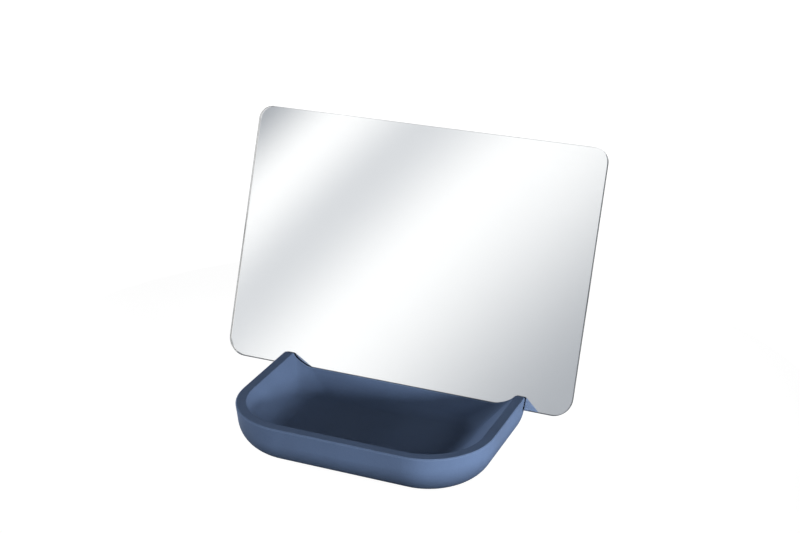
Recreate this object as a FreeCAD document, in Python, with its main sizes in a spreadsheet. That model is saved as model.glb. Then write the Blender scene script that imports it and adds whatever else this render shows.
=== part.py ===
import FreeCAD, Part
import os
import re
import Sketcher
from math import cos, radians, sin

# A frameless mirror that leans back in a slot across a low open tray.
# The origin is the centre of the tray on the surface it stands on.
# +X runs to the right along the mirror, +Y to the back, +Z up.  Millimetres and degrees.

SIZES = {
    # tray, seen from above and from the side
    "tray_width": 140.3,
    "tray_depth": 113.4,
    "tray_corner": 35.3,
    "rim_top": 24.4,
    "rim_width": 5.5,
    "rim_arris": 0.6,
    "mouth_arris": 0.9,
    "wall_draft": 6.2,
    "underside_round": 16.0,
    # open bowl in front of the mirror
    "bowl_depth": 15.0,
    "bowl_slope": 46.0,
    "bowl_round": 12.0,
    "bowl_mouth_corner": 1.6,
    "bowl_floor_corner": 14.0,
    "bowl_land": 0.8,
    # mirror pane and how it stands in the tray
    "mirror_width": 200.0,
    "mirror_height": 140.0,
    "mirror_top_corner": 8.0,
    "mirror_bottom_corner": 10.5,
    "mirror_lean": 20.8,
    "mirror_setback": 79.7,
    "mirror_foot": 17.9,
    "mirror_shift": 5.0,
    "glass_thick": 1.8,
    "front_arris": 0.3,
    "back_arris": 0.2,
    "silver_thick": 0.1,
    "silver_border": 0.3,
    "backing_thick": 0.2,
    "backing_border": 0.2,
    "bond_line": 0.05,
    # slot and the soft strips in it
    "slot_play": 0.15,
    "strip_thick": 0.8,
    "strip_length": 112.0,
    "strip_height": 5.5,
    # underside: cover, its soft pad, screws, ballast
    "pad_lift": 0.8,
    "pad_recess": 1.2,
    "pad_border": 3.0,
    "pad_edge": 0.4,
    "fit_gap": 0.2,
    "cover_thick": 3.0,
    "cover_border": 2.4,
    "screw_reach": 9.0,
    "screw_shank": 2.6,
    "screw_play": 0.05,
    "screw_head": 5.0,
    "screw_head_height": 1.2,
    "screw_grip": 4.4,
    "cross_wide": 0.7,
    "cross_long": 3.0,
    "cross_deep": 0.8,
    "ballast_wall": 3.5,
    "ballast_depth": 46.0,
    "ballast_corner": 5.0,
    "ballast_forward": 13.0,
    "floor_wall": 2.6,
    "core_wall": 2.6,
    "core_cells": 3,
    "core_depth": 16.0,
}

PARTS = "parts"
FACING_TOLERANCE = 1e-4

doc = FreeCAD.newDocument("LeaningMirror")
sheet = doc.addObject("Spreadsheet::Sheet", "Sizes")
for row, (alias, number) in enumerate(SIZES.items(), start=1):
    sheet.set(f"A{row}", alias)
    sheet.set(f"B{row}", str(number))
    sheet.setAlias(f"B{row}", alias)
doc.recompute()


# ---------------------------------------------------------------- formulas tied to the sheet

def formula(text):
    """Turn words of the sheet into references to its cells."""
    return re.sub(r"\b([a-z]+(?:_[a-z]+)+)\b",
                  lambda found: "Sizes." + found.group(1) if found.group(1) in SIZES else found.group(1),
                  str(text))


def value(text):
    return float(sheet.evalExpression(formula(text)))


def bind(thing, path, text):
    thing.setExpression(path, formula(text))


# Heights above the standing surface
BOWL_FLOOR = "(rim_top - bowl_depth)"
COVER_TOP = "(pad_lift + cover_thick)"
# How far the outline has moved in at the underside: by the draft, and by the rounded edge
DRAFT_INSET = "((rim_top - pad_lift) * tan(wall_draft))"
FLAT_INSET = f"({DRAFT_INSET} + underside_round / tan(45 + wall_draft / 2))"
COVER_INSET = f"({FLAT_INSET} + cover_border)"
# The mirror's front bottom edge, and the whole pane's thickness
MIRROR_Y = "(mirror_setback - tray_depth / 2)"
PANE_THICK = "(glass_thick + silver_thick + backing_thick + 2 * bond_line)"
# The bowl's back wall, where it comes up to the pane's bottom edge
LAND_FROM_FRONT = "(mirror_setback - bowl_land)"
# The lowest line of the slot, at its back
SLOT_LOW = (f"(mirror_foot - strip_thick * cos(mirror_lean)"
            f" - ({PANE_THICK} + slot_play + strip_thick) * sin(mirror_lean))")
SCREW_HOLE = "(screw_shank + 2 * screw_play)"
SINK_BOTTOM = "(pad_lift + pad_recess)"
# The screws sit on the diagonals of the tray's corners
SCREW_X = "(tray_width / 2 - tray_corner + screw_reach * cos(45))"
SCREW_Y = "(tray_depth / 2 - tray_corner + screw_reach * cos(45))"
# The ballast and the cores end before the screws' holes
BALLAST_REACH = f"({SCREW_X} - {SCREW_HOLE} / 2 - ballast_wall)"
CORE_REACH = f"({SCREW_X} - {SCREW_HOLE} / 2 - 2 * core_wall)"
CORNERS = {"front_left": (-1, -1), "front_right": (1, -1), "rear_left": (-1, 1), "rear_right": (1, 1)}


# ---------------------------------------------------------------- sketches and features

def new_body(label):
    body = doc.addObject("PartDesign::Body", label)
    body.Label = label
    return body


def new_sketch(body, name, plane, height="0"):
    """A sketch on one of the body's own planes, moved along its normal."""
    sketch = body.newObject("Sketcher::SketchObject", name)
    origin_plane = [item for item in body.Origin.OriginFeatures if item.Role == plane][0]
    sketch.AttachmentSupport = [(origin_plane, "")]
    sketch.MapMode = "FlatFace"
    bind(sketch, "AttachmentOffset.Base.z", height)
    return sketch


def dimension(sketch, name, text, kind, *places):
    number = sketch.addConstraint(Sketcher.Constraint(kind, *places, value(text)))
    sketch.renameConstraint(number, name)
    bind(sketch, "Constraints." + name, text)


def rounded_outline(sketch, half_width, front, depth, front_corner, back_corner):
    """A rectangle with rounded corners, centred on the sketch's upright axis.
    front is how far its lower side lies below the origin."""
    a, low = value(half_width), -value(front)
    high = low + value(depth)
    r_low, r_high = value(front_corner), value(back_corner)
    point = lambda x, y: FreeCAD.Vector(x, y, 0)
    up = FreeCAD.Vector(0, 0, 1)

    def side(x1, y1, x2, y2):
        return sketch.addGeometry(Part.LineSegment(point(x1, y1), point(x2, y2)), False)

    def corner(x, y, radius, start):
        circle = Part.Circle(point(x, y), up, radius)
        return sketch.addGeometry(Part.ArcOfCircle(circle, radians(start), radians(start + 90)), False)

    chain = [
        side(-a + r_low, low, a - r_low, low),
        corner(a - r_low, low + r_low, r_low, 270),
        side(a, low + r_low, a, high - r_high),
        corner(a - r_high, high - r_high, r_high, 0),
        side(a - r_high, high, -a + r_high, high),
        corner(-a + r_high, high - r_high, r_high, 90),
        side(-a, high - r_high, -a, low + r_low),
        corner(-a + r_low, low + r_low, r_low, 180),
    ]
    for first, second in zip(chain, chain[1:] + chain[:1]):
        sketch.addConstraint(Sketcher.Constraint("Tangent", first, 2, second, 1))
    for level in (chain[0], chain[4]):
        sketch.addConstraint(Sketcher.Constraint("Horizontal", level))
    for upright in (chain[2], chain[6]):
        sketch.addConstraint(Sketcher.Constraint("Vertical", upright))
    sketch.addConstraint(Sketcher.Constraint("Equal", chain[1], chain[7]))
    sketch.addConstraint(Sketcher.Constraint("Equal", chain[3], chain[5]))
    dimension(sketch, "right", half_width, "DistanceX", -1, 1, chain[2], 1)
    dimension(sketch, "left", half_width, "DistanceX", chain[6], 1, -1, 1)
    if low == 0:
        sketch.addConstraint(Sketcher.Constraint("PointOnObject", chain[0], 1, -1))
    elif low < 0:
        dimension(sketch, "front", front, "DistanceY", chain[0], 1, -1, 1)
    else:
        dimension(sketch, "front", f"-({front})", "DistanceY", -1, 1, chain[0], 1)
    dimension(sketch, "depth", depth, "DistanceY", chain[0], 1, chain[4], 1)
    dimension(sketch, "front_corner", front_corner, "Radius", chain[1])
    dimension(sketch, "back_corner", back_corner, "Radius", chain[3])
    return sketch


def closed_chain(sketch, corners):
    """Straight lines from each corner to the next, joined at their ends."""
    following = corners[1:] + corners[:1]
    sides = [sketch.addGeometry(Part.LineSegment(*ends), False) for ends in zip(corners, following)]
    for side, after in zip(sides, sides[1:] + sides[:1]):
        sketch.addConstraint(Sketcher.Constraint("Coincident", side, 2, after, 1))
    return sides


def corner_circles(sketch, diameter):
    """One circle on the diagonal of each corner of the tray."""
    for name, (right, back) in CORNERS.items():
        centre = FreeCAD.Vector(right * value(SCREW_X), back * value(SCREW_Y), 0)
        round_line = Part.Circle(centre, FreeCAD.Vector(0, 0, 1), value(diameter) / 2)
        circle = sketch.addGeometry(round_line, False)
        across = (-1, 1, circle, 3) if right > 0 else (circle, 3, -1, 1)
        along = (-1, 1, circle, 3) if back > 0 else (circle, 3, -1, 1)
        dimension(sketch, name + "_x", SCREW_X, "DistanceX", *across)
        dimension(sketch, name + "_y", SCREW_Y, "DistanceY", *along)
        dimension(sketch, name + "_wide", diameter, "Diameter", circle)
    return sketch


def pad(body, name, sketch, length, reverse=False):
    feature = body.newObject("PartDesign::Pad", name)
    feature.Profile = sketch
    bind(feature, "Length", length)
    feature.Reversed = reverse
    doc.recompute()
    return feature


def pocket(body, name, sketch, length, reverse=False, both_ways=False):
    """Cut a sketch into the body, and make sure that it cut something."""
    before = body.Shape.Volume
    feature = body.newObject("PartDesign::Pocket", name)
    feature.Profile = sketch
    bind(feature, "Length", length)
    feature.Reversed = reverse
    feature.Midplane = both_ways
    doc.recompute()
    if not body.Shape.Volume < before:
        raise RuntimeError(name + " cut nothing")
    return feature


def loft(body, name, kind, first, second):
    feature = body.newObject("PartDesign::" + kind, name)
    feature.Profile = first
    feature.Sections = [second]
    feature.Ruled = True
    doc.recompute()
    return feature


def edges_where(feature, test):
    """Names of the edges whose every vertex passes the test."""
    return [f"Edge{number}" for number, edge in enumerate(feature.Shape.Edges, start=1)
            if all(test(vertex.Point) for vertex in edge.Vertexes)]


def at_height(height):
    return lambda point: abs(point.z - value(height)) < FACING_TOLERANCE


def round_edges(body, name, feature, radius, test):
    fillet = body.newObject("PartDesign::Fillet", name)
    fillet.Base = (feature, edges_where(feature, test))
    bind(fillet, "Radius", radius)
    doc.recompute()
    return fillet


def bevel_edges(body, name, feature, size, test):
    bevel = body.newObject("PartDesign::Chamfer", name)
    bevel.Base = (feature, edges_where(feature, test))
    bind(bevel, "Size", size)
    doc.recompute()
    return bevel


# ---------------------------------------------------------------- outlines that several pieces share

def tilted_strip(sketch, ahead, below, thick, tall):
    """A rectangle that leans back with the pane.  Its front lower corner lies ahead of the pane's
    front face and below the pane's bottom edge."""
    lean = radians(value("mirror_lean"))
    back = FreeCAD.Vector(cos(lean), -sin(lean), 0)
    rise = FreeCAD.Vector(sin(lean), cos(lean), 0)
    edge = FreeCAD.Vector(value(MIRROR_Y), value("mirror_foot"), 0)
    start = edge - back * value(ahead) - rise * value(below)
    corners = [start, start + back * value(thick), start + back * value(thick) + rise * value(tall),
               start + rise * value(tall)]
    sides = closed_chain(sketch, corners)
    for n in range(3):
        sketch.addConstraint(Sketcher.Constraint("Perpendicular", sides[n], sides[n + 1]))
    # The upright axis of the sketch is -2; the front side runs downwards
    tilt = sketch.addConstraint(Sketcher.Constraint("Angle", sides[1], 1, -2, 1, lean))
    sketch.renameConstraint(tilt, "lean")
    bind(sketch, "Constraints.lean", "mirror_lean * 1 deg")
    dimension(sketch, "thick", thick, "Distance", sides[0])
    dimension(sketch, "tall", tall, "Distance", sides[1])
    start_y = f"{MIRROR_Y} - {ahead} * cos(mirror_lean) - {below} * sin(mirror_lean)"
    start_z = f"mirror_foot + {ahead} * sin(mirror_lean) - {below} * cos(mirror_lean)"
    dimension(sketch, "start_y", start_y, "DistanceX", -1, 1, sides[0], 1)
    dimension(sketch, "start_z", start_z, "DistanceY", -1, 1, sides[0], 1)
    return sketch


def cover_outline(sketch, gap="0"):
    return rounded_outline(sketch, f"tray_width / 2 - {COVER_INSET} + {gap}",
                           f"tray_depth / 2 - {COVER_INSET} + {gap}",
                           f"tray_depth - 2 * {COVER_INSET} + 2 * {gap}",
                           f"tray_corner - {COVER_INSET} + {gap}", f"tray_corner - {COVER_INSET} + {gap}")


def pad_outline(sketch, gap="0"):
    """The soft pad lies inside the cover's outline."""
    return cover_outline(sketch, f"({gap} - pad_border)")


def ballast_outline(sketch, gap="0"):
    return rounded_outline(sketch, f"{BALLAST_REACH} + {gap}",
                           f"ballast_depth / 2 + ballast_forward + {gap}", f"ballast_depth + 2 * {gap}",
                           f"ballast_corner + {gap}", f"ballast_corner + {gap}")


def core_cells_outline(sketch):
    """Rectangles in a row across the tray, with ribs between them."""
    cells = int(value("core_cells"))
    cell = f"((2 * {CORE_REACH} - {cells - 1} * core_wall) / {cells})"
    back = f"(tray_depth / 2 - {COVER_INSET} - core_wall)"
    for number in range(cells):
        left = f"({number} * ({cell} + core_wall) - {CORE_REACH})"
        x, y = value(left), value(back)
        wide, deep = value(cell), value("core_depth")
        points = [FreeCAD.Vector(x, y - deep, 0), FreeCAD.Vector(x + wide, y - deep, 0),
                  FreeCAD.Vector(x + wide, y, 0), FreeCAD.Vector(x, y, 0)]
        sides = closed_chain(sketch, points)
        for n in range(4):
            sketch.addConstraint(Sketcher.Constraint("Vertical" if n % 2 else "Horizontal", sides[n]))
        dimension(sketch, f"wide_{number}", cell, "DistanceX", sides[0], 1, sides[0], 2)
        dimension(sketch, f"deep_{number}", "core_depth", "DistanceY", sides[1], 1, sides[1], 2)
        dimension(sketch, f"back_{number}", back, "DistanceY", -1, 1, sides[2], 2)
        if x < 0:
            dimension(sketch, f"left_{number}", f"-{left}", "DistanceX", sides[0], 1, -1, 1)
        else:
            dimension(sketch, f"left_{number}", left, "DistanceX", -1, 1, sides[0], 1)
    return sketch


# ---------------------------------------------------------------- tray body

def make_tray_body():
    body = new_body("tray_body")
    rim = rounded_outline(new_sketch(body, "tray_rim_outline", "XY_Plane", "rim_top"),
                          "tray_width / 2", "tray_depth / 2", "tray_depth", "tray_corner", "tray_corner")
    foot = rounded_outline(new_sketch(body, "tray_foot_outline", "XY_Plane", "pad_lift"),
                           f"tray_width / 2 - {DRAFT_INSET}", f"tray_depth / 2 - {DRAFT_INSET}",
                           f"tray_depth - 2 * {DRAFT_INSET}",
                           f"tray_corner - {DRAFT_INSET}", f"tray_corner - {DRAFT_INSET}")
    block = loft(body, "tray_block", "AdditiveLoft", rim, foot)
    rounded = round_edges(body, "tray_underside", block, "underside_round", at_height("pad_lift"))
    bevel_edges(body, "rim_arris_bevel", rounded, "rim_arris", at_height("rim_top"))

    # The bowl: its back wall would meet the rim behind the pane, and comes up to it at its bottom edge
    spread = "((rim_top - mirror_foot) * tan(bowl_slope))"
    shrink = "(bowl_depth * tan(bowl_slope))"
    mouth = rounded_outline(new_sketch(body, "bowl_mouth_outline", "XY_Plane", "rim_top"),
                            "tray_width / 2 - rim_width", "tray_depth / 2 - rim_width",
                            f"{LAND_FROM_FRONT} - rim_width + {spread}",
                            "tray_corner - rim_width", "bowl_mouth_corner")
    floor = rounded_outline(new_sketch(body, "bowl_floor_outline", "XY_Plane", BOWL_FLOOR),
                            f"tray_width / 2 - rim_width - {shrink}",
                            f"tray_depth / 2 - rim_width - {shrink}",
                            f"{LAND_FROM_FRONT} - rim_width + {spread} - 2 * {shrink}",
                            f"tray_corner - rim_width - {shrink}", "bowl_floor_corner")
    bowl = loft(body, "bowl", "SubtractiveLoft", mouth, floor)
    bowl = round_edges(body, "bowl_floor_round", bowl, "bowl_round", at_height(BOWL_FLOOR))
    mouth_reach = value("tray_width / 2 - rim_width") + FACING_TOLERANCE
    mouth_back = value(f"{LAND_FROM_FRONT} + {spread} - tray_depth / 2") + FACING_TOLERANCE
    mouth_front = value("rim_width - tray_depth / 2") - FACING_TOLERANCE

    def at_mouth(point):
        inside = abs(point.x) < mouth_reach and mouth_front < point.y < mouth_back
        return inside and at_height("rim_top")(point)

    round_edges(body, "bowl_mouth_round", bowl, "mouth_arris", at_mouth)

    # The slot the pane stands in, open at both sides and at the top
    slot = tilted_strip(new_sketch(body, "slot_section", "YZ_Plane"),
                        "slot_play", "strip_thick",
                        f"{PANE_THICK} + 2 * slot_play + strip_thick",
                        f"(rim_top - {SLOT_LOW}) / cos(mirror_lean) + slot_play")
    pocket(body, "slot", slot, "2 * tray_width", both_ways=True)

    # Underside: the cover's rebate, the ballast's bed, cores under the rear, pilot holes
    rebate = cover_outline(new_sketch(body, "cover_rebate_outline", "XY_Plane", "pad_lift"), "fit_gap")
    pocket(body, "cover_rebate", rebate, "cover_thick", reverse=True)
    bed = ballast_outline(new_sketch(body, "ballast_bed_outline", "XY_Plane", COVER_TOP), "fit_gap")
    pocket(body, "ballast_bed", bed, f"{BOWL_FLOOR} - floor_wall - {COVER_TOP}", reverse=True)
    pilots = corner_circles(new_sketch(body, "pilot_circles", "XY_Plane", COVER_TOP), SCREW_HOLE)
    pocket(body, "pilot_holes", pilots, "screw_grip + fit_gap", reverse=True)
    cores = core_cells_outline(new_sketch(body, "core_outline", "XY_Plane", COVER_TOP))
    pocket(body, "rear_cores", cores, f"{SLOT_LOW} - core_wall - {COVER_TOP}", reverse=True)
    return body


# ---------------------------------------------------------------- strips in the slot

def make_strip(label, ahead, below, thick, tall):
    body = new_body(label)
    section = tilted_strip(new_sketch(body, label + "_section", "YZ_Plane"), ahead, below, thick, tall)
    strip = pad(body, label + "_length", section, "strip_length")
    strip.Midplane = True
    doc.recompute()
    return body


# ---------------------------------------------------------------- mirror pane

def lean_back(body):
    """Stand a body, drawn upright on its front face, in the slot."""
    body.Placement = FreeCAD.Placement(FreeCAD.Vector(), FreeCAD.Rotation(FreeCAD.Vector(-1, 0, 0), 1))
    bind(body, "Placement.Base.x", "-mirror_shift")
    bind(body, "Placement.Base.y", MIRROR_Y)
    bind(body, "Placement.Base.z", "mirror_foot")
    bind(body, "Placement.Rotation.Angle", "mirror_lean")


def make_pane_layer(label, border, behind, thick):
    """A sheet of the pane: its border inside the glass, and how far it lies behind the front face."""
    body = new_body(label)
    outline = rounded_outline(new_sketch(body, label + "_outline", "XZ_Plane", f"-({behind})"),
                              f"mirror_width / 2 - {border}", f"-({border})",
                              f"mirror_height - 2 * {border}",
                              f"mirror_bottom_corner - {border}", f"mirror_top_corner - {border}")
    pad(body, label + "_sheet", outline, thick, reverse=True)
    return body


def make_mirror_glass():
    body = make_pane_layer("mirror_glass", "0", "0", "glass_thick")
    at_depth = lambda depth: lambda point: abs(point.y - value(depth)) < FACING_TOLERANCE
    front = bevel_edges(body, "glass_front_arris", body.Tip, "front_arris", at_depth("0"))
    bevel_edges(body, "glass_back_arris", front, "back_arris", at_depth("glass_thick"))
    return body


# ---------------------------------------------------------------- underside

def make_base_cover():
    body = new_body("base_cover")
    outline = cover_outline(new_sketch(body, "cover_outline", "XY_Plane", "pad_lift"))
    pad(body, "cover_plate", outline, "cover_thick")
    seat = pad_outline(new_sketch(body, "pad_seat_outline", "XY_Plane", "pad_lift"), "fit_gap")
    pocket(body, "pad_seat", seat, "pad_recess", reverse=True)
    holes = corner_circles(new_sketch(body, "screw_hole_circles", "XY_Plane", SINK_BOTTOM), SCREW_HOLE)
    drilled = pocket(body, "screw_holes", holes, "cover_thick", reverse=True)
    hole_rim = value("screw_shank / 2 + screw_play")

    def at_hole(point):
        axis = FreeCAD.Vector(value(SCREW_X), value(SCREW_Y), point.z)
        away = (FreeCAD.Vector(abs(point.x), abs(point.y), point.z) - axis).Length
        return abs(away - hole_rim) < FACING_TOLERANCE and at_height(SINK_BOTTOM)(point)

    sink = body.newObject("PartDesign::Chamfer", "screw_sinks")
    sink.Base = (drilled, edges_where(drilled, at_hole))
    bind(sink, "Size", "screw_head_height")
    doc.recompute()
    return body


def make_ballast_plate():
    body = new_body("ballast_plate")
    outline = ballast_outline(new_sketch(body, "ballast_outline", "XY_Plane", COVER_TOP))
    pad(body, "ballast_sheet", outline, f"{BOWL_FLOOR} - floor_wall - fit_gap - {COVER_TOP}")
    return body


def make_base_pad():
    body = new_body("base_pad")
    outline = pad_outline(new_sketch(body, "pad_outline", "XY_Plane"))
    sheet_pad = pad(body, "pad_sheet", outline, SINK_BOTTOM)
    round_edges(body, "pad_edge_round", sheet_pad, "pad_edge", at_height("0"))
    return body


def primitive(kind, name, x="0", y="0", z="0", **sizes):
    shape = doc.addObject("Part::" + kind, name)
    for size, text in sizes.items():
        bind(shape, size, text)
    for axis, text in (("x", x), ("y", y), ("z", z)):
        bind(shape, "Placement.Base." + axis, text)
    return shape


def make_cover_screws():
    """Countersunk screws driven up through the cover, all in one piece group."""
    screws = []
    for name, (right, back) in CORNERS.items():
        x, y = f"{right} * {SCREW_X}", f"{back} * {SCREW_Y}"
        head = primitive("Cone", "head_" + name, x, y, SINK_BOTTOM, Radius1="screw_head / 2",
                         Radius2="screw_shank / 2", Height="screw_head_height")
        shank = primitive("Cylinder", "shank_" + name, x, y, f"{SINK_BOTTOM} + screw_head_height",
                          Radius="screw_shank / 2",
                          Height=f"{COVER_TOP} + screw_grip - {SINK_BOTTOM} - screw_head_height")
        blank = doc.addObject("Part::Fuse", "blank_" + name)
        blank.Base, blank.Tool = head, shank
        bars = [primitive("Box", f"cross_{turn}_{name}", f"{x} - {long} / 2", f"{y} - {wide} / 2",
                          SINK_BOTTOM, Length=long, Width=wide, Height="cross_deep")
                for turn, long, wide in (("across", "cross_long", "cross_wide"),
                                         ("along", "cross_wide", "cross_long"))]
        cross = doc.addObject("Part::Fuse", "cross_" + name)
        cross.Base, cross.Tool = bars
        screw = doc.addObject("Part::Cut", "screw_" + name)
        screw.Base, screw.Tool = blank, cross
        screws.append(screw)
    group = doc.addObject("Part::Compound", "cover_screws")
    group.Label = "cover_screws"
    group.Links = screws
    doc.recompute()
    return group


# ---------------------------------------------------------------- the whole assembly

def make_all():
    pieces = [make_tray_body(), make_base_cover(), make_ballast_plate(), make_cover_screws(),
              make_base_pad()]
    pieces.append(make_strip("slot_floor_pad", "slot_play", "strip_thick",
                             f"{PANE_THICK} + 2 * slot_play", "strip_thick"))
    pieces.append(make_strip("slot_back_pad", f"-({PANE_THICK} + slot_play)", "strip_thick",
                             "strip_thick", "strip_height + strip_thick"))
    layers = [make_mirror_glass(),
              make_pane_layer("mirror_silvering", "silver_border", "glass_thick + bond_line",
                              "silver_thick"),
              make_pane_layer("mirror_backing", "backing_border",
                              "glass_thick + silver_thick + 2 * bond_line", "backing_thick")]
    for layer in layers:
        lean_back(layer)
    doc.recompute()
    return pieces + layers


def check(pieces):
    for item in doc.Objects:
        if "Invalid" in item.State or "Error" in item.State:
            raise RuntimeError(f"{item.Name} failed: {item.State}")
    for piece in pieces:
        if piece.Shape.isNull() or not piece.Shape.isValid():
            raise RuntimeError(piece.Label + " has no valid shape")


def export(pieces):
    os.makedirs(PARTS, exist_ok=True)
    for piece in pieces:
        piece.Shape.exportStep(os.path.join(PARTS, piece.Label + ".step"))
        box = piece.Shape.BoundBox
        print(f"{piece.Label:18s} solids {len(piece.Shape.Solids)}  volume {piece.Shape.Volume:10.1f}"
              f"  x {box.XMin:7.2f} {box.XMax:7.2f}  y {box.YMin:7.2f} {box.YMax:7.2f}"
              f"  z {box.ZMin:7.2f} {box.ZMax:7.2f}")


assembly = make_all()
check(assembly)
export(assembly)
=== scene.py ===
"""Looks of a frameless mirror that leans back in a slot across a low open tray.

Lengths are metres, in the same frame as the construction: the origin is the tray's centre on the
surface it stands on, +X to the right along the mirror, +Y to the back, +Z up.
"""

from math import cos, pi, radians, sin

import bmesh
import bpy
from bpy.props import FloatProperty, FloatVectorProperty, IntProperty, PointerProperty
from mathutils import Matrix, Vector


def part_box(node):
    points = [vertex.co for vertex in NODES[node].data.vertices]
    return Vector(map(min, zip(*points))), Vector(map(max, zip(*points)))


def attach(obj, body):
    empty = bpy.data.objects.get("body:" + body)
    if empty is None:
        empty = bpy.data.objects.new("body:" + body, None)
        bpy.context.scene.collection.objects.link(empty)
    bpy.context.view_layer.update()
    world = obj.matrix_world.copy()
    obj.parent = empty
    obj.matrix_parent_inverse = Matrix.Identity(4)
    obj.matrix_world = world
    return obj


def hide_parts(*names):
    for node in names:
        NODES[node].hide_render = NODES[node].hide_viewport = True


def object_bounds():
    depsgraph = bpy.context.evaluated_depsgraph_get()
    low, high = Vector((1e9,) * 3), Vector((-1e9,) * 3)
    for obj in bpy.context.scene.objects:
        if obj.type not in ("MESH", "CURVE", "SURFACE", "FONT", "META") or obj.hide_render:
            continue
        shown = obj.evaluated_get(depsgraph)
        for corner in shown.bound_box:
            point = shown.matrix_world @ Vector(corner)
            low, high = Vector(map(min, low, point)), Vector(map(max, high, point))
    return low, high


bl_info = {
    "name": "Leaning mirror and tray",
    "version": (1, 0, 0),
    "blender": (4, 5, 0),
    "location": "3D View > Sidebar > Mirror Tray",
    "description": "Finishes the pieces of a table mirror with a tray and sets up its studio",
    "category": "Material",
}

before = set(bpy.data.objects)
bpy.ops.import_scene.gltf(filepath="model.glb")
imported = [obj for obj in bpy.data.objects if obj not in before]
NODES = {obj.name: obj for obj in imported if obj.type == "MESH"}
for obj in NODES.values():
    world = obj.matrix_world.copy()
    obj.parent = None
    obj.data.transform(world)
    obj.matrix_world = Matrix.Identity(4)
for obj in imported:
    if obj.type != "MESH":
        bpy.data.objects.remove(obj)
CAD_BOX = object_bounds()


# ---------------------------------------------------------------- settings

def colour_setting(name, description, default):
    """A colour without alpha, in linear light."""
    return FloatVectorProperty(name=name, description=description, default=default, subtype="COLOR",
                               size=3, min=0.0, max=1.0)


def length_setting(name, description, default):
    """A length in metres."""
    return FloatProperty(name=name, description=description, default=default, min=0.0,
                         subtype="DISTANCE", unit="LENGTH", precision=5)


def share_setting(name, description, default):
    """A share from 0 to 1."""
    return FloatProperty(name=name, description=description, default=default, min=0.0, max=1.0,
                         subtype="FACTOR")


def power_setting(name, description, default):
    """A lamp's power in watts."""
    return FloatProperty(name=name, description=description, default=default, min=0.0, unit="POWER")


def light_setting(name, description, default):
    """A plain number that may go above 1."""
    return FloatProperty(name=name, description=description, default=default, min=0.0)


class TraySettings(bpy.types.PropertyGroup):
    """Colours and finish of the tray and of the cover under it"""
    colour: colour_setting("Tray Colour", "Slate blue of the moulded tray", (0.098, 0.148, 0.262))
    # Paler edge colour: rubbed wear, and also a painted highlight along the tray's edges
    rubbed_and_highlight_colour: colour_setting("Rubbed Colour", "Tray colour where edges are rubbed",
                                  (0.23, 0.32, 0.49))
    cover_colour: colour_setting("Cover Colour", "Colour of the cover underneath",
                                 (0.065, 0.090, 0.140))
    roughness: share_setting("Roughness", "How matt the tray is", 0.62)
    gloss: share_setting("Gloss Level", "Strength of the plain surface reflection", 0.22)
    grain_size: length_setting("Grain Size", "Width of one grain of the moulded texture", 0.00045)
    grain_depth: length_setting("Grain Depth", "Depth of the moulded texture", 0.000012)
    # Width and amount of the edge mask that paints the rubbed wear and the edge highlight
    wear_width: length_setting("Edge Wear Width", "How far wear reaches from an edge", 0.0006)
    edge_wear_and_highlight: share_setting("Edge Wear", "Amount of wear along edges", 0.65)


class MetalSettings(bpy.types.PropertyGroup):
    """Colours and finish of the screws and of the ballast plate"""
    screw_colour: colour_setting("Screw Colour", "Zinc plating of the screws", (0.62, 0.63, 0.60))
    screw_roughness: share_setting("Screw Roughness", "How dull the screws are", 0.34)
    screw_lines: length_setting("Screw Line Width", "Width of the lines on the screws", 0.0001)
    ballast_colour: colour_setting("Ballast Colour", "Rolled steel of the ballast plate",
                                   (0.42, 0.42, 0.43))
    ballast_roughness: share_setting("Ballast Roughness", "How dull the ballast plate is", 0.45)
    ballast_lines: length_setting("Ballast Line Width", "Width of the lines on the plate", 0.0003)


class PaneSettings(bpy.types.PropertyGroup):
    """Colours and finish of the mirror's layers"""
    glass_tint: colour_setting("Glass Tint", "Colour that the glass passes", (0.990, 0.994, 0.993))
    silver_colour: colour_setting("Silver Colour", "Colour of the silvering", (0.965, 0.97, 0.975))
    backing_colour: colour_setting("Back Paint Colour", "Protective paint on the back",
                                   (0.16, 0.175, 0.19))
    worn_paint_colour: colour_setting("Worn Paint Colour", "Back paint where its edges are rubbed",
                                      (0.45, 0.46, 0.47))
    smear_roughness: share_setting("Smear Roughness", "Roughness of wiped streaks on the glass",
                                   0.006)


class PadSettings(bpy.types.PropertyGroup):
    """Colours and sizes of the soft pad and strips"""
    foam_colour: colour_setting("Foam Colour", "Colour of the pad under the tray",
                                (0.035, 0.040, 0.048))
    strip_colour: colour_setting("Strip Colour", "Colour of the felt strips in the slot",
                                 (0.030, 0.034, 0.042))
    edge_round: length_setting("Pressed Edge", "Rounding of the pads' cut edges", 0.0005)
    groove_inset: length_setting("Groove Inset", "From the pad's edge to its groove", 0.0035)
    groove_width: length_setting("Groove Width", "Width of the pressed groove", 0.0012)
    groove_depth: length_setting("Groove Depth", "Depth of the pressed groove", 0.0003)
    corner_steps: IntProperty(name="Corner Steps", description="Straight pieces in a round corner",
                              default=16, min=2, max=64)


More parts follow.
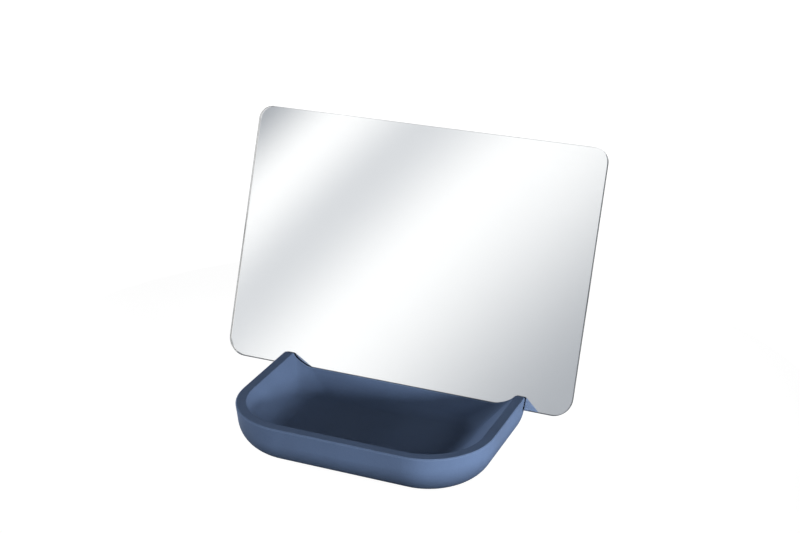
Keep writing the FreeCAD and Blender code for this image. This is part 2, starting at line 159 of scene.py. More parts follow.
class StudioSettings(bpy.types.PropertyGroup):
    """Camera, floor, lamps and world around the object"""
    azimuth: FloatProperty(name="Camera Azimuth", description="Turn to the right of the front",
                           default=radians(23.2), subtype="ANGLE", unit="ROTATION")
    elevation: FloatProperty(name="Camera Elevation", description="Height above the horizon",
                             default=radians(22.7), subtype="ANGLE", unit="ROTATION")
    distance: length_setting("Camera Distance", "From the camera to the point it looks at", 0.805)
    focal_length: FloatProperty(name="Focal Length", description="Camera's lens in millimetres",
                                default=69.17, min=1.0, unit="CAMERA")
    look_at: FloatVectorProperty(name="Look At", description="Point that the camera looks at",
                                 default=(-0.00296, 0.03060, 0.08401), subtype="TRANSLATION",
                                 unit="LENGTH", size=3)
    floor_width: length_setting("Floor Width", "Side of the floor", 8.0)
    floor_grey: share_setting("Floor Grey", "Share of the lamps' light that the floor shows", 0.25)
    floor_bounce: share_setting("Floor Bounce", "Share of that light that the object gets", 0.10)
    # Reach and depth of the painted contact shadow that darkens the mirrored floor near the object
    contact_reach: length_setting("Contact Reach", "How far around the floor darkens", 0.15)
    contact_depth: light_setting("Contact Depth", "How fast it darkens there, as a power", 2.0)
    floor_gap: length_setting("Floor Gap", "Distance from the pad's face to the floor", 0.0001)
    key_power: power_setting("Key Power", "Small lamp low at the front right", 12.4)
    side_power: power_setting("Side Power", "Small lamp low at the right", 6.7)
    soft_power: power_setting("Soft Power", "Larger lamp above the small ones", 3.5)
    fill_power: power_setting("Fill Power", "Lamp low at the left", 12.4)
    back_power: power_setting("Back Power", "Lamp behind the mirror", 10.0)
    lamp_distance: length_setting("Lamp Distance", "From the object to each lamp", 1.2)
    lamp_aim: length_setting("Lamp Aim", "Height that the lamps point at", 0.02)
    hoop_radius: length_setting("Hoop Radius", "Radius of the hoop that shades the foot", 0.25)
    hoop_height: length_setting("Hoop Height", "Height of that hoop", 0.03)
    backdrop: light_setting("Backdrop White", "Brightness of the background, with 1 as white", 0.97)
    sky_low: light_setting("Horizon Light", "Plain light from around the horizon", 0.04)
    sky_high: light_setting("Overhead Light", "Plain light from straight above", 0.02)


# ---------------------------------------------------------------- node helpers

def place(tree, kind, **settings):
    """A new node with the given settings."""
    made = tree.nodes.new(kind)
    for name, setting in settings.items():
        setattr(made, name, setting)
    return made


def feed(tree, socket, source):
    """Link an output to a socket, or set the socket's own value."""
    if isinstance(source, bpy.types.NodeSocket):
        tree.links.new(source, socket)
    else:
        socket.default_value = source


def maths(tree, operation, *terms, clamp=False):
    """One step of arithmetic on outputs or numbers."""
    made = place(tree, "ShaderNodeMath", operation=operation, use_clamp=clamp)
    for socket, term in zip(made.inputs, terms):
        feed(tree, socket, term)
    return made.outputs["Value"]


def vector_maths(tree, operation, *terms):
    """One step of vector arithmetic. A dot product gives a number."""
    made = place(tree, "ShaderNodeVectorMath", operation=operation)
    for socket, term in zip(made.inputs, terms):
        feed(tree, socket, term)
    return made.outputs["Value" if operation == "DOT_PRODUCT" else "Vector"]


def noise(tree, vector, scale, detail=2.0, roughness=0.5, distortion=0.0):
    """Cloudy noise, mostly between NOISE_LOW and NOISE_HIGH."""
    made = place(tree, "ShaderNodeTexNoise")
    for name, source in (("Vector", vector), ("Scale", scale), ("Detail", detail),
                         ("Roughness", roughness), ("Distortion", distortion)):
        feed(tree, made.inputs[name], source)
    return made.outputs["Fac"]


def map_range(tree, source, low, high, to_low=0.0, to_high=1.0):
    """Low to high stretched to to_low to to_high, and held at both ends."""
    made = place(tree, "ShaderNodeMapRange", clamp=True)
    for name, term in (("Value", source), ("From Min", low), ("From Max", high),
                       ("To Min", to_low), ("To Max", to_high)):
        feed(tree, made.inputs[name], term)
    return made.outputs["Result"]


# Sockets that a Mix node uses for colours
MIX_FIRST, MIX_SECOND, MIX_RESULT = 6, 7, 2


def mix_colours(tree, share, first, second):
    """The first colour at share 0, the second at share 1."""
    made = place(tree, "ShaderNodeMix", data_type="RGBA")
    feed(tree, made.inputs["Factor"], share)
    feed(tree, made.inputs[MIX_FIRST], first)
    feed(tree, made.inputs[MIX_SECOND], second)
    return made.outputs[MIX_RESULT]


def mix_shaders(tree, share, first, second):
    """The first shader at share 0, the second at share 1."""
    made = place(tree, "ShaderNodeMixShader")
    for socket, source in zip(made.inputs, (share, first, second)):
        feed(tree, socket, source)
    return made.outputs["Shader"]


def eased_ramp(tree, source, stops):
    """A colour ramp that eases between its (position, colour) stops."""
    made = place(tree, "ShaderNodeValToRGB")
    made.color_ramp.interpolation = "EASE"
    elements = made.color_ramp.elements
    elements[0].position, elements[0].color = stops[0][0], stops[0][1]
    elements[1].position, elements[1].color = stops[-1][0], stops[-1][1]
    for position, colour in stops[1:-1]:
        elements.new(position).color = colour
    feed(tree, made.inputs["Fac"], source)
    return made.outputs["Color"]


def solid(colour, strength=1.0):
    """A colour setting, made darker or brighter by a strength, with alpha."""
    return (*[min(1.0, strength * channel) for channel in colour], 1.0)


def grey(level):
    """An even grey with alpha."""
    return (level, level, level, 1.0)


def place_on_piece(tree):
    """Each point's place on its piece, in metres."""
    return place(tree, "ShaderNodeTexCoord").outputs["Object"]


def scale_for(tree, size):
    """Texture scale that gives features of a size in metres."""
    return maths(tree, "DIVIDE", 1.0, size)


# ---------------------------------------------------------------- shared effects

def new_effect(name, inputs, outputs):
    """An empty shader node group with named sockets: (group, its inputs, its output node)."""
    group = bpy.data.node_groups.new(name, "ShaderNodeTree")
    for title, kind, default in inputs:
        socket = group.interface.new_socket(title, in_out="INPUT", socket_type="NodeSocket" + kind)
        socket.default_value = default
    for title, kind in outputs:
        group.interface.new_socket(title, in_out="OUTPUT", socket_type="NodeSocket" + kind)
    entry = group.nodes.new("NodeGroupInput").outputs
    return group, entry, group.nodes.new("NodeGroupOutput").inputs


# Most of a noise lies between these two
NOISE_LOW, NOISE_HIGH = 0.3, 0.7
# Share of the slow unevenness in the height of the moulded grain
PATCH_HEIGHT = 0.3
# Agreement of the rounded and the true normal at which the edge mask (wear, and on the tray a
# painted highlight) starts, and at which it is full
WEAR_STARTS, WEAR_FULL = 0.995, 0.90
# Noise below the first leaves only the least share of the edge mask, and above the second all of it
BREAK_LOW, BREAK_HIGH, LEAST_EDGE_SHARE = 0.35, 0.65, 0.35
# Brushed lines run along X: the scale across them is 1
LINE_STRETCH = (0.04, 1.0, 1.0)
# Distance from a cell's middle, in cells, up to which its pore is deepest, and where it ends
PORE_MIDDLE, PORE_END = 0.1, 0.6
# Share of the fibres in the height of foam and felt
FIBRE_HEIGHT = 0.35


def make_moulded_grain():
    """Fine matt texture with slow unevenness under it."""
    group, given, out = new_effect("Moulded Grain",
                                   [("Grain Size", "Float", 0.0004), ("Patch Size", "Float", 0.02)],
                                   [("Height", "Float"), ("Patches", "Float"), ("Grain", "Float")])
    here = place_on_piece(group)
    grain = noise(group, here, scale_for(group, given["Grain Size"]), detail=3.0, roughness=0.6)
    patches = noise(group, here, scale_for(group, given["Patch Size"]), detail=4.0, roughness=0.55)
    feed(group, out["Grain"], map_range(group, grain, NOISE_LOW, NOISE_HIGH))
    feed(group, out["Patches"], map_range(group, patches, NOISE_LOW, NOISE_HIGH))
    feed(group, out["Height"], maths(group, "MULTIPLY_ADD", patches, PATCH_HEIGHT, grain))
    return group


def make_edge_wear():
    """Mask along edges, where the rounded normal leaves the true one, broken up by noise. It marks
    rubbed wear, and on the tray also a painted highlight along the edges.
    """
    group, given, out = new_effect("Edge Wear",
                                   [("Width", "Float", 0.0005), ("Amount", "Float", 0.5),
                                    ("Break Size", "Float", 0.004)],
                                   [("Mask", "Float")])
    here = place_on_piece(group)
    rounded = place(group, "ShaderNodeBevel", samples=4)
    feed(group, rounded.inputs["Radius"], given["Width"])
    true_normal = place(group, "ShaderNodeNewGeometry").outputs["Normal"]
    agreement = vector_maths(group, "DOT_PRODUCT", rounded.outputs["Normal"], true_normal)
    edge = map_range(group, agreement, WEAR_STARTS, WEAR_FULL)
    broken = noise(group, here, scale_for(group, given["Break Size"]), detail=4.0, roughness=0.7)
    kept = map_range(group, broken, BREAK_LOW, BREAK_HIGH, LEAST_EDGE_SHARE, 1.0)
    rubbed = maths(group, "MULTIPLY", edge, kept)
    feed(group, out["Mask"], maths(group, "MULTIPLY", rubbed, given["Amount"], clamp=True))
    return group


def make_brushed_metal():
    """Fine lines along one direction, with cloudy stains."""
    group, given, out = new_effect("Brushed Metal",
                                   [("Line Width", "Float", 0.0002), ("Stain Size", "Float", 0.01)],
                                   [("Lines", "Float"), ("Stains", "Float")])
    here = place_on_piece(group)
    stretched = vector_maths(group, "MULTIPLY", here, LINE_STRETCH)
    lines = noise(group, stretched, scale_for(group, given["Line Width"]), detail=2.0)
    stains = noise(group, here, scale_for(group, given["Stain Size"]), detail=5.0, roughness=0.6)
    feed(group, out["Lines"], lines)
    feed(group, out["Stains"], map_range(group, stains, NOISE_LOW, NOISE_HIGH))
    return group


def make_pores():
    """Cells of foam or felt: round pores with fibres across them."""
    group, given, out = new_effect("Soft Pores",
                                   [("Pore Size", "Float", 0.0006),
                                    ("Fibre Size", "Float", 0.0002)],
                                   [("Height", "Float"), ("Pores", "Float")])
    here = place_on_piece(group)
    cells = place(group, "ShaderNodeTexVoronoi", feature="SMOOTH_F1")
    feed(group, cells.inputs["Vector"], here)
    feed(group, cells.inputs["Scale"], scale_for(group, given["Pore Size"]))
    pores = map_range(group, cells.outputs["Distance"], PORE_MIDDLE, PORE_END)
    fibres = noise(group, here, scale_for(group, given["Fibre Size"]), detail=3.0, distortion=0.6)
    feed(group, out["Pores"], pores)
    feed(group, out["Height"], maths(group, "MULTIPLY_ADD", fibres, FIBRE_HEIGHT, pores))
    return group


class Effects:
    """The shared node groups, each made when it is first asked for."""
    makers = {"Moulded Grain": make_moulded_grain, "Edge Wear": make_edge_wear,
              "Brushed Metal": make_brushed_metal, "Soft Pores": make_pores}

    @classmethod
    def add(cls, tree, name, **values):
        """Put an effect in a material. Its inputs are given as words joined by underscores."""
        group = bpy.data.node_groups.get(name) or cls.makers[name]()
        made = place(tree, "ShaderNodeGroup", node_tree=group)
        for words, source in values.items():
            feed(tree, made.inputs[words.replace("_", " ").title()], source)
        return made.outputs


# ---------------------------------------------------------------- materials

def new_material(name, **uniform):
    """A material with one Principled shader: (material, its tree, the shader's inputs).

    Numbers and colours that are the same all over are given as words joined by underscores.
    """
    material = bpy.data.materials.new(name)
    material.use_nodes = True
    tree = material.node_tree
    shader = tree.nodes["Principled BSDF"].inputs
    for words, number in uniform.items():
        shader[words.replace("_", " ").title().replace("Ior", "IOR")].default_value = number
    return material, tree, shader


def bump(tree, shader, height, depth):
    """Fine relief of a depth in metres."""
    made = place(tree, "ShaderNodeBump")
    feed(tree, made.inputs["Height"], height)
    feed(tree, made.inputs["Distance"], depth)
    feed(tree, shader["Normal"], made.outputs["Normal"])


def moulded_plastic(name, colour, rubbed_and_highlight_colour, looks):
    """Matt moulded plastic, paler and smoother where its edges are rubbed. The paler edges are also
    a painted highlight.
    """
    dark_patch, pale_patch, speckle_share = 0.93, 1.06, 0.10
    uneven_roughness, rubbed_roughness = 0.05, -0.15
    material, tree, shader = new_material(name, specular_ior_level=looks.gloss)
    grain = Effects.add(tree, "Moulded Grain", grain_size=looks.grain_size, patch_size=0.018)
    # Edge mask: real rubbed wear, and also a painted highlight along the edges
    wear = Effects.add(tree, "Edge Wear", width=looks.wear_width, amount=looks.edge_wear_and_highlight,
                       break_size=0.005)["Mask"]
    patched = mix_colours(tree, grain["Patches"], solid(colour, dark_patch),
                          solid(colour, pale_patch))
    speckled = mix_colours(tree, maths(tree, "MULTIPLY", grain["Grain"], speckle_share), patched,
                           solid(rubbed_and_highlight_colour))
    feed(tree, shader["Base Color"], mix_colours(tree, wear, speckled, solid(rubbed_and_highlight_colour)))
    rough = map_range(tree, grain["Patches"], 0.0, 1.0, looks.roughness - uneven_roughness,
                      looks.roughness + uneven_roughness)
    feed(tree, shader["Roughness"], maths(tree, "MULTIPLY_ADD", wear, rubbed_roughness, rough))
    bump(tree, shader, grain["Height"], looks.grain_depth)
    return material


def plated_steel(name, colour, roughness, line_width):
    """Steel with fine lines and stains, bright where its edges are rubbed."""
    stain, bright, uneven_roughness = 0.8, 1.3, 0.08
    material, tree, shader = new_material(name, metallic=1.0)
    brushed = Effects.add(tree, "Brushed Metal", line_width=line_width, stain_size=0.006)
    wear = Effects.add(tree, "Edge Wear", width=0.0003, amount=0.6, break_size=0.002)["Mask"]
    stained = mix_colours(tree, brushed["Stains"], solid(colour, stain), solid(colour))
    feed(tree, shader["Base Color"], mix_colours(tree, wear, stained, solid(colour, bright)))
    feed(tree, shader["Roughness"], map_range(tree, brushed["Lines"], NOISE_LOW, NOISE_HIGH,
                                              roughness - uneven_roughness,
                                              roughness + uneven_roughness))
    bump(tree, shader, brushed["Lines"], depth=0.000005)
    return material


def soft_foam(name, colour, pore_size, fibre_size, depth):
    """Dull foam or felt with pores, and with paler patches of dust."""
    pore_middle, pore_wall, dust, dust_share = 1.5, 0.6, 2.2, 0.3
    least_rough, most_rough = 0.82, 0.97
    material, tree, shader = new_material(name, specular_ior_level=0.2, sheen_weight=0.25,
                                          sheen_roughness=0.6)
    soft = Effects.add(tree, "Soft Pores", pore_size=pore_size, fibre_size=fibre_size)
    patches = Effects.add(tree, "Moulded Grain", grain_size=pore_size, patch_size=0.008)["Patches"]
    porous = mix_colours(tree, soft["Pores"], solid(colour, pore_middle), solid(colour, pore_wall))
    feed(tree, shader["Base Color"], mix_colours(tree, maths(tree, "MULTIPLY", patches, dust_share),
                                                 porous, solid(colour, dust)))
    feed(tree, shader["Roughness"], map_range(tree, patches, 0.0, 1.0, least_rough, most_rough))
    bump(tree, shader, soft["Height"], depth)
    return material


def mirror_glass(looks):
    """Clear float glass with faint wiped streaks."""
    streaks_per_metre = (9.0, 30.0, 40.0)
    clean, smeared = 0.5, 0.75
    material, tree, shader = new_material("Float Glass", base_color=solid(looks.glass_tint),
                                          ior=1.52, transmission_weight=1.0, metallic=0.0)
    wiped = vector_maths(tree, "MULTIPLY", place_on_piece(tree), streaks_per_metre)
    streaks = noise(tree, wiped, 1.0, detail=3.0, roughness=0.6, distortion=0.8)
    feed(tree, shader["Roughness"], map_range(tree, streaks, clean, smeared, 0.0,
                                              looks.smear_roughness))
    return material


def silvering(looks):
    """The silver layer, very slightly clouded."""
    clouded, clouded_roughness = 0.99, 0.004
    material, tree, shader = new_material("Silver Layer", metallic=1.0)
    clouds = Effects.add(tree, "Moulded Grain", grain_size=0.002, patch_size=0.05)["Patches"]
    feed(tree, shader["Base Color"], mix_colours(tree, clouds, solid(looks.silver_colour),
                                                 solid(looks.silver_colour, clouded)))
    feed(tree, shader["Roughness"], map_range(tree, clouds, 0.0, 1.0, 0.0, clouded_roughness))
    return material


def back_paint(looks):
    """Rolled protective paint on the mirror's back: orange peel, thin at the edges."""
    dark_patch, pale_patch, least_rough, most_rough = 0.88, 1.1, 0.42, 0.55
    material, tree, shader = new_material("Back Paint", specular_ior_level=0.4)
    peel = Effects.add(tree, "Moulded Grain", grain_size=0.0014, patch_size=0.03)
    wear = Effects.add(tree, "Edge Wear", width=0.0008, amount=0.7, break_size=0.003)["Mask"]
    painted = mix_colours(tree, peel["Patches"], solid(looks.backing_colour, dark_patch),
                          solid(looks.backing_colour, pale_patch))
    feed(tree, shader["Base Color"], mix_colours(tree, wear, painted,
                                                 solid(looks.worn_paint_colour)))
    feed(tree, shader["Roughness"], map_range(tree, peel["Patches"], 0.0, 1.0, least_rough,
                                              most_rough))
    bump(tree, shader, peel["Height"], depth=0.00003)
    return material


def dress(node, material):
    """Give a construction piece its finish."""
    slots = NODES[node].material_slots
    if not slots:
        NODES[node].data.materials.append(material)
    for slot in slots:
        slot.material = material


# ---------------------------------------------------------------- mesh helpers

# Points nearer than this to a side lie on it
TOUCHING = 1e-5
# Edges that turn by more than this stay sharp in smooth shading
SHARP_TURN = radians(35)


def corner_radius(node):
    """Radius of a plate's front corners, from where its straight front side ends."""
    low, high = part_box(node)
    front = [corner.co.x for corner in NODES[node].data.vertices if corner.co.y < low.y + TOUCHING]
    return high.x - max(front)


def rounded_ring(mesh, low, high, radius, inset, height, steps):
    """Corners of a rounded rectangle in the XY plane, moved in by inset."""
    ring = []
    reach = radius - inset
    corners = ((high.x, high.y), (low.x, high.y), (low.x, low.y), (high.x, low.y))
    for quarter, (x, y) in enumerate(corners):
        middle_x = x - radius if x == high.x else x + radius
        middle_y = y - radius if y == high.y else y + radius
        for step in range(steps + 1):
            angle = pi / 2 * (quarter + step / steps)
            ring.append(mesh.verts.new((middle_x + reach * cos(angle),
                                        middle_y + reach * sin(angle), height)))
    return ring


def skin_rings(mesh, rings):
    """Faces between neighbouring rings, with the first and last ring closed."""
    for ring, following in zip(rings, rings[1:]):
        for n in range(len(ring)):
            after = (n + 1) % len(ring)
            mesh.faces.new((ring[n], ring[after], following[after], following[n]))
    mesh.faces.new(reversed(rings[0]))
    mesh.faces.new(rings[-1])


def finish_piece(name, mesh, body, material, replaced):
    """Turn mesh code into a named piece that rides on a body."""
    bmesh.ops.recalc_face_normals(mesh, faces=mesh.faces)
    data = bpy.data.meshes.new(name)
    mesh.to_mesh(data)
    mesh.free()
    piece = bpy.data.objects.new(name, data)
    bpy.context.scene.collection.objects.link(piece)
    data.materials.append(material)
    data.shade_smooth()
    data.set_sharp_from_angle(angle=SHARP_TURN)
    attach(piece, body)
    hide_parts(replaced)
    return piece


# ---------------------------------------------------------------- pieces

class TrayOperator(bpy.types.Operator):
    """Finish the moulded tray in matt slate blue"""
    bl_idname = "mirror_tray.finish_tray"
    bl_label = "Finish Tray"

    def execute(self, context):
        looks = context.scene.tray_looks
        dress("tray_body", moulded_plastic("Slate Plastic", looks.colour, looks.rubbed_and_highlight_colour,
                                           looks))
        return {"FINISHED"}


class UndersideOperator(bpy.types.Operator):
    """Finish the cover, its screws and the ballast plate"""
    bl_idname = "mirror_tray.finish_underside"
    bl_label = "Finish Underside"

    def execute(self, context):
        looks, metal = context.scene.tray_looks, context.scene.metal_looks
        dress("base_cover", moulded_plastic("Dark Plastic", looks.cover_colour, looks.colour,
                                            looks))
        dress("cover_screws", plated_steel("Zinc Plated Screw", metal.screw_colour,
                                           metal.screw_roughness, metal.screw_lines))
        dress("ballast_plate", plated_steel("Rolled Steel", metal.ballast_colour,
                                            metal.ballast_roughness, metal.ballast_lines))
        return {"FINISHED"}


class BasePadOperator(bpy.types.Operator):
    """Make the foam pad that the tray stands on, with its pressed groove"""
    bl_idname = "mirror_tray.make_base_pad"
    bl_label = "Make Base Pad"

    def execute(self, context):
        looks = context.scene.pad_looks
        low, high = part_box("base_pad")
        radius = corner_radius("base_pad")
        mesh = bmesh.new()
        skin_rings(mesh, [rounded_ring(mesh, low, high, radius, inset, height, looks.corner_steps)
                          for inset, height in self.section(looks, low.z, high.z)])
        foam = soft_foam("Closed Cell Foam", looks.foam_colour, pore_size=0.0005, fibre_size=0.0002,
                         depth=0.00008)
        pad = finish_piece("base_foam_pad", mesh, "tray", foam, "base_pad")
        return {"FINISHED"}

    def section(self, looks, bottom, top):
        """Inset and height of each ring: top, rounded bottom edge, then down into the groove."""
        edge, middle, half = looks.edge_round, looks.groove_inset, looks.groove_width / 2
        ceiling = bottom + looks.groove_depth
        section = [(edge, top), (0.0, top - edge)]
        for turn in map(radians, (0, 30, 60, 90)):
            section.append((edge * (1 - cos(turn)), bottom + edge * (1 - sin(turn))))
        return section + [(middle - half, bottom), (middle - half / 2, ceiling),
                          (middle + half / 2, ceiling), (middle + half, bottom)]


class SlotStripsOperator(bpy.types.Operator):
    """Make the two felt strips that line the slot"""
    bl_idname = "mirror_tray.make_slot_strips"
    bl_label = "Make Slot Strips"

    def execute(self, context):
        looks = context.scene.pad_looks
        felt = soft_foam("Grey Felt", looks.strip_colour, pore_size=0.0004, fibre_size=0.00012,
                         depth=0.0001)
        self.make_strip("slot_floor_pad", "slot_floor_felt", felt, looks)
        self.make_strip("slot_back_pad", "slot_back_felt", felt, looks)
        return {"FINISHED"}

    def make_strip(self, node, name, felt, looks):
        """The strip's own block with its long edges rounded, as pressed felt has."""
        mesh = bmesh.new()
        mesh.from_mesh(NODES[node].data)
        bmesh.ops.remove_doubles(mesh, verts=mesh.verts, dist=1e-6)
        bmesh.ops.dissolve_limit(mesh, angle_limit=radians(1), verts=mesh.verts, edges=mesh.edges)
        bmesh.ops.bevel(mesh, geom=list(mesh.edges), offset=looks.edge_round / 2, segments=3,
                        profile=0.5, affect="EDGES")
        strip = finish_piece(name, mesh, "tray", felt, node)


class MirrorPaneOperator(bpy.types.Operator):
    """Finish the glass, its silvering and the paint on its back"""
    bl_idname = "mirror_tray.finish_mirror_pane"
    bl_label = "Finish Mirror Pane"

    def execute(self, context):
        looks = context.scene.pane_looks
        dress("mirror_glass", mirror_glass(looks))
        dress("mirror_silvering", silvering(looks))
        dress("mirror_backing", back_paint(looks))
        return {"FINISHED"}


# ---------------------------------------------------------------- studio

# Soft grey bands that a mirror in the studio shows. A direction's place in them is its dot product
# with BAND_AXIS plus BAND_START, and the stops are (place, level of grey).
BAND_AXIS = (3.239, -4.729, -1.949)
BAND_START = -1.705
BAND_STOPS = [(-3.5, 0.55), (-1.9, 0.12), (-0.8, 0.12), (0.0, 0.38), (0.25, 1.0), (0.48, 0.70),
              (0.79, 1.0), (1.55, 0.44), (1.75, 0.45), (2.05, 0.93), (2.9, 0.96), (4.5, 0.85)]
BAND_LOW, BAND_HIGH = BAND_STOPS[0][0], BAND_STOPS[-1][0]
BAND_STRENGTH = 1.08
# Powers of the level for red, green and blue, which make darker greys a little cooler
BAND_COOLNESS = (1.05, 1.0, 0.92)
# Height of a direction, with 1 straight up or down, from which and up to which the plain light goes
# from its level at the horizon to the one overhead
HORIZON, OVERHEAD = 0.1, 0.9
# Straight sides of the hoop that shades the foot of the object
HOOP_SIDES = 96


def is_camera_ray(tree):
    """1 for what the camera sees itself."""
    return place(tree, "ShaderNodeLightPath").outputs["Is Camera Ray"]


def is_mirrored_ray(tree):
    """1 for what is seen by reflection or through glass."""
    rays = place(tree, "ShaderNodeLightPath").outputs
    return maths(tree, "MAXIMUM", rays["Is Glossy Ray"], rays["Is Transmission Ray"])


def background(tree, colour, strength):
    """Light from the world around."""
    made = place(tree, "ShaderNodeBackground")
    feed(tree, made.inputs["Color"], colour)
    feed(tree, made.inputs["Strength"], strength)
    return made.outputs["Background"]


def make_world(scene, looks):
    """White behind the object, banded for mirrors, and plain light for everything else."""
    world = bpy.data.worlds.new("Studio")
    world.use_nodes = True
    tree = world.node_tree
    tree.nodes.clear()
    direction = place(tree, "ShaderNodeTexCoord").outputs["Generated"]

    along = maths(tree, "ADD", vector_maths(tree, "DOT_PRODUCT", direction, BAND_AXIS), BAND_START)
    reach = BAND_HIGH - BAND_LOW
    stops = [((at - BAND_LOW) / reach, solid([level ** power for power in BAND_COOLNESS]))
             for at, level in BAND_STOPS]
    bands = eased_ramp(tree, map_range(tree, along, BAND_LOW, BAND_HIGH), stops)

    split = place(tree, "ShaderNodeSeparateXYZ")
    feed(tree, split.inputs["Vector"], direction)
    height = maths(tree, "ABSOLUTE", split.outputs["Z"])
    plain = map_range(tree, height, HORIZON, OVERHEAD, looks.sky_low, looks.sky_high)

    lit = mix_shaders(tree, is_mirrored_ray(tree), background(tree, grey(1.0), plain),
                      background(tree, bands, BAND_STRENGTH))
    surface = mix_shaders(tree, is_camera_ray(tree), lit,
                          background(tree, grey(1.0), looks.backdrop))
    feed(tree, place(tree, "ShaderNodeOutputWorld").inputs["Surface"], surface)
    scene.world = world


def floor_material(looks):
    """White floor. Where it is mirrored, no lamp lights it, and a painted contact shadow from
    ambient occlusion darkens it close to the object.
    """
    material, tree, shader = new_material("Studio Floor", roughness=0.9, specular_ior_level=0.0,
                                          emission_color=grey(1.0))
    is_camera, is_mirrored = is_camera_ray(tree), is_mirrored_ray(tree)
    # Painted contact shadow: ambient occlusion darkens the floor's glow where it is mirrored
    openness = place(tree, "ShaderNodeAmbientOcclusion", samples=8)
    feed(tree, openness.inputs["Distance"], looks.contact_reach)
    painted_contact_shadow = maths(tree, "POWER", openness.outputs["AO"], looks.contact_depth)
    glow = maths(tree, "MAXIMUM", is_camera, maths(tree, "MULTIPLY", is_mirrored, painted_contact_shadow))
    feed(tree, shader["Emission Strength"], maths(tree, "MULTIPLY", glow, looks.backdrop))
    unseen = mix_colours(tree, is_mirrored, grey(looks.floor_bounce), grey(0.0))
    feed(tree, shader["Base Color"], mix_colours(tree, is_camera, unseen, grey(looks.floor_grey)))
    from_below = place(tree, "ShaderNodeNewGeometry").outputs["Backfacing"]
    clear = place(tree, "ShaderNodeBsdfTransparent").outputs["BSDF"]
    output = tree.nodes["Material Output"].inputs["Surface"]
    feed(tree, output, mix_shaders(tree, from_below, output.links[0].from_socket, clear))
    return material


def outward_from(azimuth, elevation):
    """Unit vector away from the object. Azimuth 0 is its front, 90 degrees its right side."""
    level = Vector((sin(azimuth), -cos(azimuth), 0.0))
    return level * cos(elevation) + Vector((0.0, 0.0, sin(elevation)))


# Each lamp's name, the setting of its power, its turn to the right of the front, its elevation,
# width and height
LAMPS = [("key_lamp", "key_power", radians(48), radians(6), 0.10, 0.10),
         ("side_lamp", "side_power", radians(84), radians(6), 0.10, 0.10),
         ("soft_lamp", "soft_power", radians(64), radians(22), 0.30, 0.30),
         ("fill_lamp", "fill_power", radians(-89), radians(7), 0.40, 0.20),
         ("back_lamp", "back_power", radians(180), radians(12), 0.90, 0.30)]


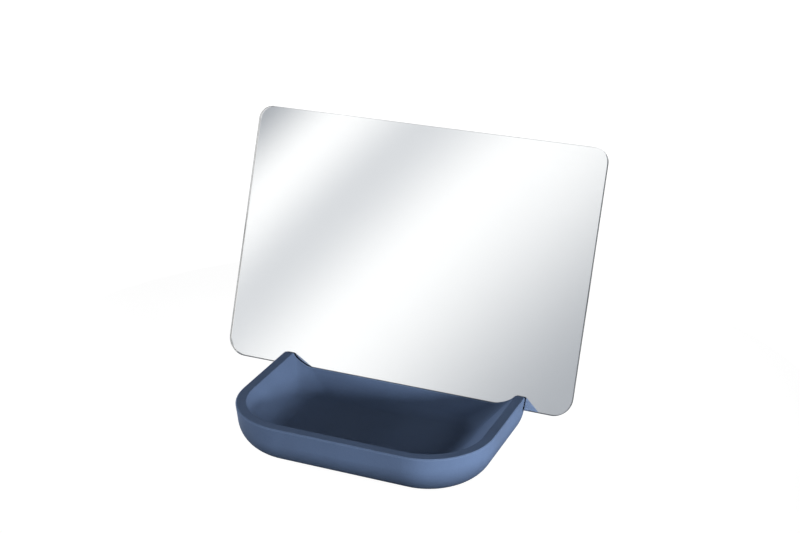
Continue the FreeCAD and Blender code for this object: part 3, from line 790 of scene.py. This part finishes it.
class StudioOperator(bpy.types.Operator):
    """Set up the floor, the lamps, the world and the camera"""
    bl_idname = "mirror_tray.set_up_studio"
    bl_label = "Set Up Studio"

    def execute(self, context):
        looks = context.scene.studio_looks
        context.scene.view_settings.view_transform = "Standard"
        self.make_floor(context, looks)
        self.make_camera(context, looks)
        make_world(context.scene, looks)
        middle = (CAD_BOX[0] + CAD_BOX[1]) / 2
        middle.z = looks.lamp_aim
        self.make_hoop(context, looks, middle)
        for lamp in LAMPS:
            self.add_lamp(context, looks, middle, *lamp)
        return {"FINISHED"}

    def add_lamp(self, context, looks, aim, name, power, azimuth, elevation, width, height):
        """A rectangular lamp that mirrors and glass don't show."""
        data = bpy.data.lights.new(name, "AREA")
        data.shape = "RECTANGLE"
        data.size, data.size_y = width, height
        data.energy = getattr(looks, power)
        outward = outward_from(azimuth, elevation)
        lamp = bpy.data.objects.new(name, data)
        lamp.location = aim + looks.lamp_distance * outward
        lamp.rotation_euler = outward.to_track_quat("Z", "Y").to_euler()
        lamp.visible_glossy = False
        lamp.visible_transmission = False
        context.scene.collection.objects.link(lamp)

    def add_stage_piece(self, context, name, mesh, place_at):
        """Turn mesh code into a named piece of the studio."""
        data = bpy.data.meshes.new(name)
        mesh.to_mesh(data)
        mesh.free()
        piece = bpy.data.objects.new(name, data)
        piece.location = place_at
        context.scene.collection.objects.link(piece)
        return piece

    def make_floor(self, context, looks):
        """One flat square just under the object."""
        mesh = bmesh.new()
        bmesh.ops.create_grid(mesh, x_segments=1, y_segments=1, size=looks.floor_width / 2)
        floor = self.add_stage_piece(context, "studio_floor", mesh,
                                     (0, 0, CAD_BOX[0].z - looks.floor_gap))
        floor.data.materials.append(floor_material(looks))

    def make_hoop(self, context, looks, middle):
        """A low hoop that is never seen: it keeps the low lamps' light off the object's foot."""
        mesh = bmesh.new()
        bmesh.ops.create_cone(mesh, cap_ends=False, segments=HOOP_SIDES, radius1=looks.hoop_radius,
                              radius2=looks.hoop_radius, depth=looks.hoop_height)
        hoop = self.add_stage_piece(context, "shading_hoop", mesh,
                                    (middle.x, middle.y, CAD_BOX[0].z + looks.hoop_height / 2))
        hoop.visible_camera = hoop.visible_diffuse = False
        hoop.visible_glossy = hoop.visible_transmission = False

    def make_camera(self, context, looks):
        """A camera that looks at a point of the object from the front right."""
        data = bpy.data.cameras.new("camera")
        data.lens = looks.focal_length
        camera = bpy.data.objects.new("camera", data)
        outward = outward_from(looks.azimuth, looks.elevation)
        camera.location = Vector(looks.look_at) + outward * looks.distance
        camera.rotation_euler = outward.to_track_quat("Z", "Y").to_euler()
        context.scene.collection.objects.link(camera)
        context.scene.camera = camera


# ---------------------------------------------------------------- panel and registration

OPERATORS = (TrayOperator, UndersideOperator, BasePadOperator, SlotStripsOperator,
             MirrorPaneOperator, StudioOperator)
SETTINGS = {"tray_looks": TraySettings, "metal_looks": MetalSettings, "pane_looks": PaneSettings,
            "pad_looks": PadSettings, "studio_looks": StudioSettings}


class MirrorTrayPanel(bpy.types.Panel):
    """Lists the pieces and their settings"""
    bl_idname = "VIEW3D_PT_mirror_tray"
    bl_label = "Mirror Tray"
    bl_space_type = "VIEW_3D"
    bl_region_type = "UI"
    bl_category = "Mirror Tray"

    def draw(self, context):
        for operator in OPERATORS:
            self.layout.operator(operator.bl_idname)
        for name in SETTINGS:
            box = self.layout.box()
            looks = getattr(context.scene, name)
            for setting in looks.__annotations__:
                box.prop(looks, setting)


CLASSES = (*SETTINGS.values(), *OPERATORS, MirrorTrayPanel)


def register():
    """Add the classes, and the settings to each scene."""
    for cls in CLASSES:
        bpy.utils.register_class(cls)
    for name, cls in SETTINGS.items():
        setattr(bpy.types.Scene, name, PointerProperty(type=cls))


def unregister():
    """Take the settings and the classes away again."""
    for name in SETTINGS:
        delattr(bpy.types.Scene, name)
    for cls in reversed(CLASSES):
        bpy.utils.unregister_class(cls)


def main():
    """Build everything in order."""
    register()
    for operator in OPERATORS:
        group, name = operator.bl_idname.split(".")
        getattr(getattr(bpy.ops, group), name)()


if __name__ == "__main__":
    main()
